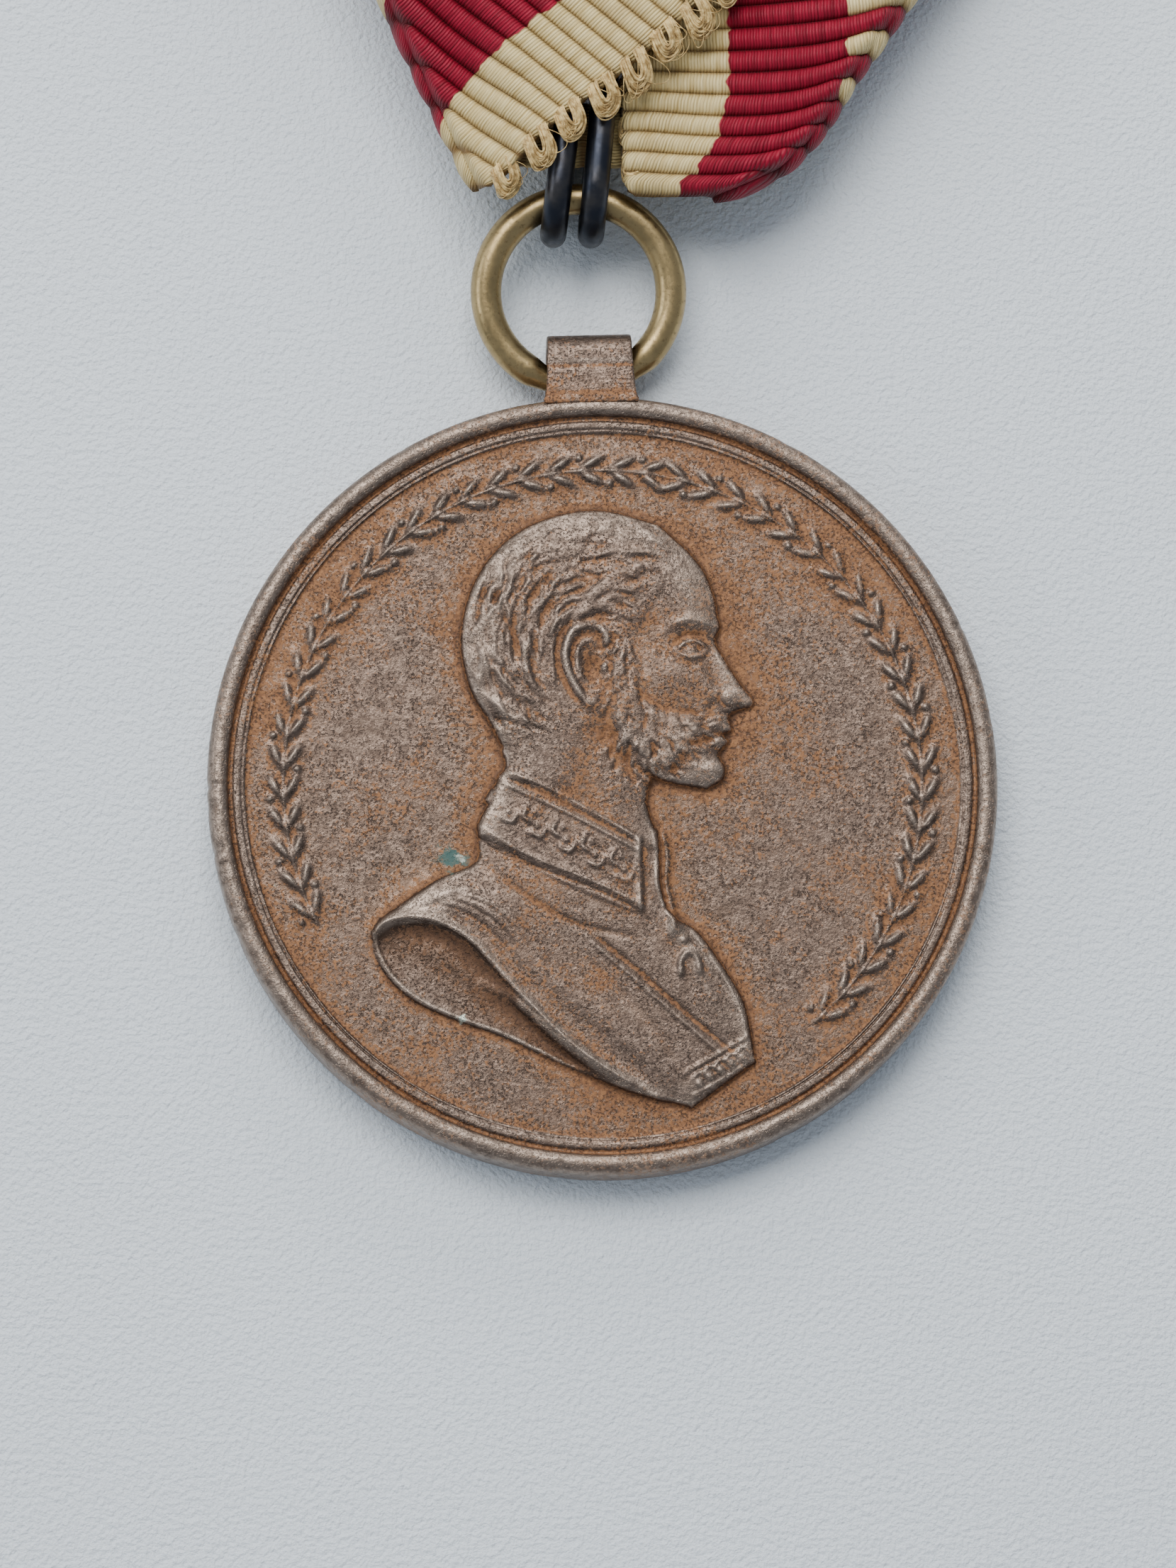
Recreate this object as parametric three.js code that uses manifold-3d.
// A round bravery medal lying face up: a struck bronze disc with a folded suspension loop, a brass ring,
// two blackened wire links, a ribbon folded to a triangle, and the brooch pin sewn to the ribbon's back.
// Millimetres. +X is to the right across the face, +Y runs from the disc to the ribbon, +Z is out of the
// face. Inside the assembly group x = 0, y = 0 is the disc's centre and z = 0 is what the medal lies on.
import * as THREE from "three";
import { mergeVertices } from "three/addons/utils/BufferGeometryUtils.js";
import Module from "manifold-3d";

const wasm = await Module();
wasm.setup();

const degrees = THREE.MathUtils.degToRad;

// Disc
const DISC_RADIUS = 15.5;
const DISC_THICKNESS = 2.5;
const DISC_MIDDLE = DISC_THICKNESS / 2;
const RIM_CREST = [14.9, 15.15]; // radii between which the rim is flat on top
const RIM_SHOULDER = 0.35; // height over which the crest rounds down to the outer edge
const BAND_RADII = [14.2, 14.7]; // the flat step inside the rim
const BAND_DEPTH = 0.3;
const FIELD_RADIUS = 14.1;
const FIELD_DEPTH = 0.42;
const RELIEF_HEIGHT = 0.3; // of the plain portrait block over the field
const RELIEF_ROOT = 1; // how far the block reaches down into the disc
const HEAD_OVAL = { x: 0, y: 5, halfWidth: 5.2, halfHeight: 5.9 };
const SHOULDERS = [
  [-3.6, 1.5],
  [-8.9, -6.1],
  [-2.5, -11.4],
  [3.5, -12.8],
  [5.9, -11],
  [2.3, -2],
];
const DISC_FACETS = 72;

// Suspension loop: a strip folded to an upside-down U over the ring, soldered to the rim
const LOOP_LEAN = degrees(1.8); // how far round the rim the loop sits, anticlockwise
const LOOP_WIDTH = 3.16;
const LOOP_FOOT = 15.5; // distance of its two feet from the disc's centre
const LOOP_TOP = 17.9;
const LOOP_STRIP = 0.5;
const LOOP_SHOULDER = 0.85; // outer radius of the fold

// Ring
const RING_RADIUS = 3.68; // of the wire's centreline
const RING_WIRE = 0.635;
const RING_SEAT = 16.25; // distance of the wire from the disc's centre, inside the loop
const RING_SLEW = degrees(5.5); // how far the ring has run round inside the loop
const RING_TILT = degrees(10.6); // the links hold the ring's far side up
const RING_PLAY = 0.06;

// Links
const LINK_WIRE = 0.525;
const LINK_BEND = 1.975; // centreline radius of each end
const LINK_LENGTH = 6.6; // centreline, end to end
const LINK_HEIGHT = 2.6; // of the middle of the link over the table
const LINK_FIRST_Y = 22.05; // where the centreline of the end that holds the ring lies
const LINKS = [
  { name: "wire_link_left", end: -2.0, lean: degrees(-7) },
  { name: "wire_link_right", end: -0.5, lean: degrees(-5) },
];

// Ribbon, folded from one strip: a back layer, flap B folded in from the right, flap A over it from the left
const CLOTH = 0.5;
const BACK_Z = 2.9;
const FLAP_B_Z = 3.9;
const FLAP_A_Z = 5.55;
const FOLD_WIDTH = 0.7;
const RIBBON_AXIS = degrees(-4.5); // the triangle leans to the right
const LEFT_FOLD = [
  [-4.7, 23.4],
  [-7.0, 27.4],
  [-8.7, 31.0],
  [-25.0, 65.3],
];
const RIGHT_FOLD = [
  [4.8, 23.2],
  [6.8, 24.0],
  [8.9, 26.1],
  [12.3, 30.8],
  [32.5, 60.8],
];
const BACK_HEM = [
  [-3.4, 24.3],
  [0.3, 24.3],
  [1.8, 23.4],
];
const FLAP_A_SELVEDGE = [
  [28.2, 61.1],
  [3.85, 30.0],
  [1.2, 27.5],
  [-2.1, 24.5],
];
const FLAP_B_SELVEDGE = [
  [-11.6, 64.2],
  [0.9, 30.2],
  [0.5, 24.2],
  [1.8, 23.4],
];
const LINK_HOLE = { left: -2.9, right: 0.9, low: 27.2, high: 30.2 };
const STIFFENER = [
  [-8.0, 32.0],
  [11.9, 32.0],
  [30.2, 59.6],
  [-22.9, 63.6],
];
const STIFFENER_Z = 3.5;
const STIFFENER_THICKNESS = 0.3;

// Brooch, under the ribbon's back layer
const BROOCH_AT = [2.9, 52.1];
const PLATE_LENGTH = 30;
const PLATE_WIDTH = 7;
const PLATE_Z = 2.1;
const PLATE_THICKNESS = 0.5;
const RIVET_X = -11.5;
const RIVET_RADIUS = 0.5;
const RIVET_HEAD = 1.1;
const RIVET_LOW = 0.15; // of its lower head, just clear of what the medal lies on
const RIVET_HEAD_HEIGHT = 0.4;
const RIVET_TOP_HEIGHT = 0.2;
const RIVET_BORE = RIVET_RADIUS + 0.06;
const RIVET_FACETS = 24;
const STEM_RADIUS = 0.4;
const STEM_Z = 1.05;
const STEM_LENGTH = 24.5;
const STEM_POINT = 4; // length of its taper
const EYE_RADIUS = 1.3;
const SPACER_RADIUS = 1.2;
const CATCH_X = 11;
const CATCH_LENGTH = 2.2;
const CATCH_SHEET = 0.3;
const CATCH_PLAY = 0.3; // round the needle
const CATCH_FOOT = 1.2; // how far its foot reaches along the plate
const CATCH_LIP = 0.9;
const STITCH_X = [-7, 8];
const STITCH_INSET = 1.2; // from the plate's edge to its sewing holes
const SEWING_HOLE = 0.45;
const THREAD = 0.3;
const FLAP_STITCH_INSET = 1.2; // how far a flap stitch reaches in from the selvedge
const TOUCH = 0.05; // gap left between pieces that rest on each other

const FLAP_STITCHES = [9, 19, 29]; // distances along flap A's selvedge from its bend

const bronze = metal(0x7a6453, 0.5);
const brass = metal(0x9a8454, 0.38);
const blackSteel = metal(0x202226, 0.3);
const gilt = metal(0xa8894e, 0.35);
const silk = cloth(0xa01c38);
const buckram = cloth(0xd8d2c2);
const sewing = cloth(0xd9c9a0);

function metal(color, roughness) {
  return new THREE.MeshStandardMaterial({ color, roughness, metalness: 1 });
}

function cloth(color) {
  return new THREE.MeshStandardMaterial({ color, roughness: 0.9, metalness: 0 });
}

// Boolean work: a closed geometry becomes a solid, and a solid becomes a geometry again.
function solidOf(geometry) {
  const bare = geometry.index ? geometry.toNonIndexed() : geometry.clone();
  bare.deleteAttribute("normal");
  bare.deleteAttribute("uv");
  const merged = mergeVertices(bare, 1e-4);
  return new wasm.Manifold(
    new wasm.Mesh({
      numProp: 3,
      vertProperties: new Float32Array(merged.attributes.position.array),
      triVerts: new Uint32Array(merged.index.array),
    }),
  );
}

function geometryOf(solid) {
  const { numProp, vertProperties, triVerts } = solid.getMesh();
  const geometry = new THREE.BufferGeometry();
  const buffer = new THREE.InterleavedBuffer(vertProperties, numProp);
  geometry.setAttribute("position", new THREE.InterleavedBufferAttribute(buffer, 3, 0));
  geometry.setIndex(new THREE.BufferAttribute(triVerts, 1));
  return geometry.toNonIndexed();
}

function joined(first, ...others) {
  return geometryOf(others.reduce((sum, other) => sum.add(solidOf(other)), solidOf(first)));
}

function cut(body, ...tools) {
  return geometryOf(tools.reduce((rest, tool) => rest.subtract(solidOf(tool)), solidOf(body)));
}

// A flat outline, given as [x, y] points, raised from z = low to z = high.
function prism(points, low, high) {
  const shape = new THREE.Shape(points.map(([x, y]) => new THREE.Vector2(x, y)));
  return raised(shape, low, high);
}

function raised(shape, low, high, curveSegments = 6) {
  const geometry = new THREE.ExtrudeGeometry(shape, {
    depth: high - low,
    bevelEnabled: false,
    curveSegments,
  });
  return geometry.translate(0, 0, low);
}

// A profile drawn as [y, z] points and drawn out along x, centred on x = 0.
function barAlongX(shape, width) {
  const geometry = raised(shape, -width / 2, width / 2);
  geometry.rotateY(Math.PI / 2);
  geometry.rotateX(Math.PI / 2);
  return geometry;
}

// A solid turned about the z axis from [radius, z] points that start and end on the axis.
function turned(points, facets) {
  const profile = points.map(([radius, height]) => new THREE.Vector2(radius, height));
  return new THREE.LatheGeometry(profile, facets).rotateX(Math.PI / 2);
}

function disk(radius, low, high, facets = RIVET_FACETS) {
  return turned([[0, low], [radius, low], [radius, high], [0, high]], facets);
}

function named(name, geometry, material) {
  const mesh = new THREE.Mesh(geometry, material);
  mesh.name = name;
  return mesh;
}

function discProfile() {
  const half = [
    [0, FIELD_DEPTH],
    [FIELD_RADIUS, FIELD_DEPTH],
    [BAND_RADII[0], BAND_DEPTH],
    [BAND_RADII[1], BAND_DEPTH],
    [RIM_CREST[0], 0],
    [RIM_CREST[1], 0],
    [DISC_RADIUS - 0.08, RIM_SHOULDER],
    [DISC_RADIUS, 0.8],
  ];
  const upper = half.map(([radius, depth]) => [radius, DISC_THICKNESS - depth]).reverse();
  return [...half, ...upper];
}

// The portrait's block: an oval head on a collar and a cut shoulder. The relief proper is surface work.
function portraitBlock() {
  const low = DISC_THICKNESS - FIELD_DEPTH - RELIEF_ROOT;
  const high = DISC_THICKNESS - FIELD_DEPTH + RELIEF_HEIGHT;
  const { x, y, halfWidth, halfHeight } = HEAD_OVAL;
  const head = new THREE.Shape();
  head.absellipse(x, y, halfWidth, halfHeight, 0, 2 * Math.PI);
  return [raised(head, low, high, 14), prism(SHOULDERS, low, high)];
}

function medalDisc() {
  return joined(turned(discProfile(), DISC_FACETS), ...portraitBlock());
}

// The space that the ring's curved wire sweeps as it turns about the middle of its seat in the loop.
function ringSweep() {
  const reach = LOOP_WIDTH * 0.7;
  const steps = 8;
  const points = [[0, -reach]];
  for (let i = -steps; i <= steps; i++) {
    const along = (reach * i) / steps;
    const sag = RING_RADIUS - Math.sqrt(RING_RADIUS ** 2 - along ** 2);
    points.push([RING_WIRE + RING_PLAY + sag, along]);
  }
  points.push([0, reach]);
  const sweep = turned(points, RIVET_FACETS).rotateY(Math.PI / 2);
  sweep.rotateZ(RING_SLEW).rotateX(RING_TILT);
  return sweep.translate(0, RING_SEAT, DISC_MIDDLE);
}

function foldedStrip() {
  const half = DISC_THICKNESS / 2;
  const inside = half - LOOP_STRIP;
  const innerTop = LOOP_TOP - LOOP_STRIP;
  const innerBend = LOOP_SHOULDER - LOOP_STRIP;
  const shape = new THREE.Shape();
  shape.moveTo(LOOP_FOOT, -half);
  shape.lineTo(LOOP_TOP - LOOP_SHOULDER, -half);
  shape.absarc(LOOP_TOP - LOOP_SHOULDER, -half + LOOP_SHOULDER, LOOP_SHOULDER, -Math.PI / 2, 0);
  shape.absarc(LOOP_TOP - LOOP_SHOULDER, half - LOOP_SHOULDER, LOOP_SHOULDER, 0, Math.PI / 2);
  shape.lineTo(LOOP_FOOT, half);
  shape.lineTo(LOOP_FOOT, inside);
  shape.lineTo(innerTop - innerBend, inside);
  shape.absarc(innerTop - innerBend, inside - innerBend, innerBend, Math.PI / 2, 0, true);
  shape.absarc(innerTop - innerBend, -inside + innerBend, innerBend, 0, -Math.PI / 2, true);
  shape.lineTo(LOOP_FOOT, -inside);
  return barAlongX(shape, LOOP_WIDTH).translate(0, 0, DISC_MIDDLE);
}

function suspensionLoop() {
  return cut(foldedStrip(), ringSweep());
}

// A torus pulled apart at its waist, so its two halves are joined by straight wire. It stands along z.
function wireLink() {
  const around = 24;
  const torus = new THREE.TorusGeometry(LINK_BEND, LINK_WIRE, 10, around);
  torus.rotateZ(Math.PI / around);
  const position = torus.attributes.position;
  const stretch = LINK_LENGTH / 2 - LINK_BEND;
  const centre = new THREE.Vector2();
  for (let i = 0; i < position.count; i++) {
    centre.set(position.getX(i), position.getY(i));
    position.setY(i, centre.y + Math.sign(centre.y) * stretch);
  }
  return torus.rotateY(Math.PI / 2);
}

function foldWall(edge, inward, low, high) {
  const inner = edge.map(([x, y]) => [x + inward, y]).reverse();
  return prism([...edge, ...inner], low, high);
}

function topWall(low, high) {
  const [left, right] = [LEFT_FOLD.at(-1), RIGHT_FOLD.at(-1)];
  const below = ([x, y]) => [x, y - FOLD_WIDTH];
  return prism([left, below(left), below(right), right], low, high);
}

function foldedRibbon() {
  const upLeft = [...LEFT_FOLD].reverse();
  const back = prism([...upLeft, ...BACK_HEM, ...RIGHT_FOLD], BACK_Z, BACK_Z + CLOTH);
  const flapA = prism([...upLeft, ...[...FLAP_A_SELVEDGE].reverse()], FLAP_A_Z, FLAP_A_Z + CLOTH);
  const flapB = prism([...FLAP_B_SELVEDGE, ...RIGHT_FOLD], FLAP_B_Z, FLAP_B_Z + CLOTH);
  const hole = prism(
    [
      [LINK_HOLE.left, LINK_HOLE.low],
      [LINK_HOLE.right, LINK_HOLE.low],
      [LINK_HOLE.right, LINK_HOLE.high],
      [LINK_HOLE.left, LINK_HOLE.high],
    ],
    BACK_Z - 1,
    BACK_Z + CLOTH + 0.1,
  );
  return cut(
    joined(
      back,
      flapA,
      flapB,
      foldWall(LEFT_FOLD, FOLD_WIDTH, BACK_Z, FLAP_A_Z + CLOTH),
      foldWall(RIGHT_FOLD, -FOLD_WIDTH, BACK_Z, FLAP_B_Z + CLOTH),
      topWall(BACK_Z, FLAP_A_Z + CLOTH),
    ),
    hole,
  );
}

// One thread over the edge of flap A, down to flap B.
function flapStitch() {
  const top = FLAP_A_Z + CLOTH + TOUCH + THREAD;
  const foot = FLAP_B_Z + CLOTH + TOUCH;
  const shape = new THREE.Shape(
    [
      [-FLAP_STITCH_INSET, top],
      [-FLAP_STITCH_INSET, top - THREAD],
      [TOUCH, top - THREAD],
      [TOUCH, foot],
      [TOUCH + THREAD, foot],
      [TOUCH + THREAD, top],
    ].map(([x, z]) => new THREE.Vector2(x, z)),
  );
  return raised(shape, -THREAD / 2, THREAD / 2).rotateX(Math.PI / 2);
}

function broochPlate() {
  const shape = new THREE.Shape();
  const [end, side] = [(PLATE_LENGTH - PLATE_WIDTH) / 2, PLATE_WIDTH / 2];
  shape.absarc(end, 0, side, -Math.PI / 2, Math.PI / 2);
  shape.absarc(-end, 0, side, Math.PI / 2, (3 * Math.PI) / 2);
  const plate = raised(shape, PLATE_Z, PLATE_Z + PLATE_THICKNESS, 12);
  const [low, high] = [PLATE_Z - 1, PLATE_Z + PLATE_THICKNESS + 1];
  const holes = [disk(RIVET_BORE, low, high).translate(RIVET_X, 0, 0)];
  for (const [x, y] of stitchPlaces())
    holes.push(disk(SEWING_HOLE, low, high, 12).translate(x, y, 0));
  return cut(plate, ...holes);
}

function stitchPlaces() {
  const y = PLATE_WIDTH / 2 - STITCH_INSET;
  return STITCH_X.flatMap((x) => [[x, -y], [x, y]]);
}

// One thread through a sewing hole, over the plate's edge and back up to the ribbon.
function broochStitch(side) {
  const under = PLATE_Z - TOUCH - THREAD;
  const top = BACK_Z - TOUCH;
  const out = STITCH_INSET + TOUCH;
  const shape = new THREE.Shape(
    [
      [-THREAD / 2, top],
      [-THREAD / 2, under],
      [out + THREAD, under],
      [out + THREAD, top],
      [out, top],
      [out, under + THREAD],
      [THREAD / 2, under + THREAD],
      [THREAD / 2, top],
    ].map(([y, z]) => new THREE.Vector2(y, z)),
  );
  const stitch = barAlongX(shape, THREAD);
  return side > 0 ? stitch : stitch.rotateZ(Math.PI);
}

function hingeRivet() {
  const headHigh = RIVET_LOW + RIVET_HEAD_HEIGHT;
  const topLow = PLATE_Z + PLATE_THICKNESS + TOUCH;
  const topHigh = topLow + RIVET_TOP_HEIGHT;
  return turned(
    [
      [0, RIVET_LOW],
      [RIVET_HEAD - 0.2, RIVET_LOW],
      [RIVET_HEAD, headHigh - 0.15],
      [RIVET_HEAD, headHigh],
      [RIVET_RADIUS, headHigh],
      [RIVET_RADIUS, topLow],
      [RIVET_HEAD, topLow],
      [RIVET_HEAD, topHigh],
      [0, topHigh],
    ],
    RIVET_FACETS,
  );
}

function hingeSpacer() {
  const low = STEM_Z + STEM_RADIUS + TOUCH;
  const high = PLATE_Z - TOUCH;
  return turned(
    [[RIVET_BORE, low], [SPACER_RADIUS, low], [SPACER_RADIUS, high], [RIVET_BORE, high], [RIVET_BORE, low]],
    RIVET_FACETS,
  );
}

// The needle runs along x from its flattened eye at x = 0 to its point.
function pinStem() {
  const [low, high] = [STEM_Z - STEM_RADIUS, STEM_Z + STEM_RADIUS];
  const needle = turned(
    [
      [0, 0.8],
      [STEM_RADIUS, 0.8],
      [STEM_RADIUS, STEM_LENGTH - STEM_POINT],
      [STEM_RADIUS * 0.55, STEM_LENGTH - STEM_POINT * 0.35],
      [0, STEM_LENGTH],
    ],
    12,
  );
  needle.rotateY(Math.PI / 2).translate(0, 0, STEM_Z);
  return cut(joined(disk(EYE_RADIUS, low, high), needle), disk(RIVET_BORE, low - 1, high + 1));
}

// A strip bent to a C round the needle, open towards +y.
function catchHook() {
  const top = PLATE_Z - TOUCH;
  const reach = STEM_RADIUS + CATCH_PLAY;
  const low = STEM_Z - reach;
  const shape = new THREE.Shape(
    [
      [CATCH_FOOT, top],
      [-reach - CATCH_SHEET, top],
      [-reach - CATCH_SHEET, low - CATCH_SHEET],
      [CATCH_LIP, low - CATCH_SHEET],
      [CATCH_LIP, low],
      [-reach, low],
      [-reach, top - CATCH_SHEET],
      [CATCH_FOOT, top - CATCH_SHEET],
    ].map(([y, z]) => new THREE.Vector2(y, z)),
  );
  return barAlongX(shape, CATCH_LENGTH);
}

function medal() {
  const group = new THREE.Group();
  group.add(named("medal_disc", medalDisc(), bronze));
  const loop = named("suspension_loop", suspensionLoop(), bronze);
  loop.rotation.z = LOOP_LEAN;
  group.add(loop);
  return group;
}

// The ring's group turns about the middle of its seat in the loop, and the ring lies on +y of it.
function ring() {
  const seat = new THREE.Group();
  seat.position.set(0, RING_SEAT, DISC_MIDDLE).applyAxisAngle(new THREE.Vector3(0, 0, 1), LOOP_LEAN);
  seat.rotation.set(RING_TILT, 0, LOOP_LEAN + RING_SLEW);
  const torus = named("suspension_ring", new THREE.TorusGeometry(RING_RADIUS, RING_WIRE, 12, 48), brass);
  torus.position.y = RING_RADIUS;
  seat.add(torus);
  return seat;
}

function links() {
  const group = new THREE.Group();
  for (const { name, end, lean } of LINKS) {
    const link = named(name, wireLink(), blackSteel);
    const half = LINK_LENGTH / 2;
    link.position.set(end - Math.sin(lean) * half, LINK_FIRST_Y + Math.cos(lean) * half, LINK_HEIGHT);
    link.rotation.z = lean;
    group.add(link);
  }
  return group;
}

function ribbon() {
  const group = new THREE.Group();
  group.add(named("ribbon", foldedRibbon(), silk));
  const stiffener = prism(STIFFENER, STIFFENER_Z, STIFFENER_Z + STIFFENER_THICKNESS);
  group.add(named("ribbon_stiffener", stiffener, buckram));
  const [far, near] = FLAP_A_SELVEDGE;
  const run = Math.atan2(far[1] - near[1], far[0] - near[0]);
  FLAP_STITCHES.forEach((distance, i) => {
    const stitch = named(`flap_stitch_${i + 1}`, flapStitch(), sewing);
    stitch.position.set(near[0] + distance * Math.cos(run), near[1] + distance * Math.sin(run), 0);
    stitch.rotation.z = run - Math.PI / 2;
    group.add(stitch);
  });
  return group;
}

function brooch() {
  const group = new THREE.Group();
  group.position.set(...BROOCH_AT, 0);
  group.rotation.z = RIBBON_AXIS;
  group.add(named("brooch_plate", broochPlate(), gilt));
  const hinge = new THREE.Group();
  hinge.position.x = RIVET_X;
  hinge.add(named("hinge_rivet", hingeRivet(), gilt));
  hinge.add(named("hinge_spacer", hingeSpacer(), gilt));
  hinge.add(named("pin_stem", pinStem(), gilt));
  group.add(hinge);
  const hook = named("catch_hook", catchHook(), gilt);
  hook.position.x = CATCH_X;
  group.add(hook);
  stitchPlaces().forEach(([x, y], i) => {
    const stitch = named(`brooch_stitch_${i + 1}`, broochStitch(Math.sign(y)), sewing);
    stitch.position.set(x, y, 0);
    group.add(stitch);
  });
  return group;
}

const assembly = new THREE.Group();
assembly.add(medal(), ring(), links(), ribbon(), brooch());

// The part's origin is the middle of what it covers on the table.
const extent = new THREE.Box3().setFromObject(assembly, true);
const middle = extent.getCenter(new THREE.Vector3());
assembly.position.set(-middle.x, -middle.y, -extent.min.z);

const group = new THREE.Group();
group.add(assembly);

export default group;
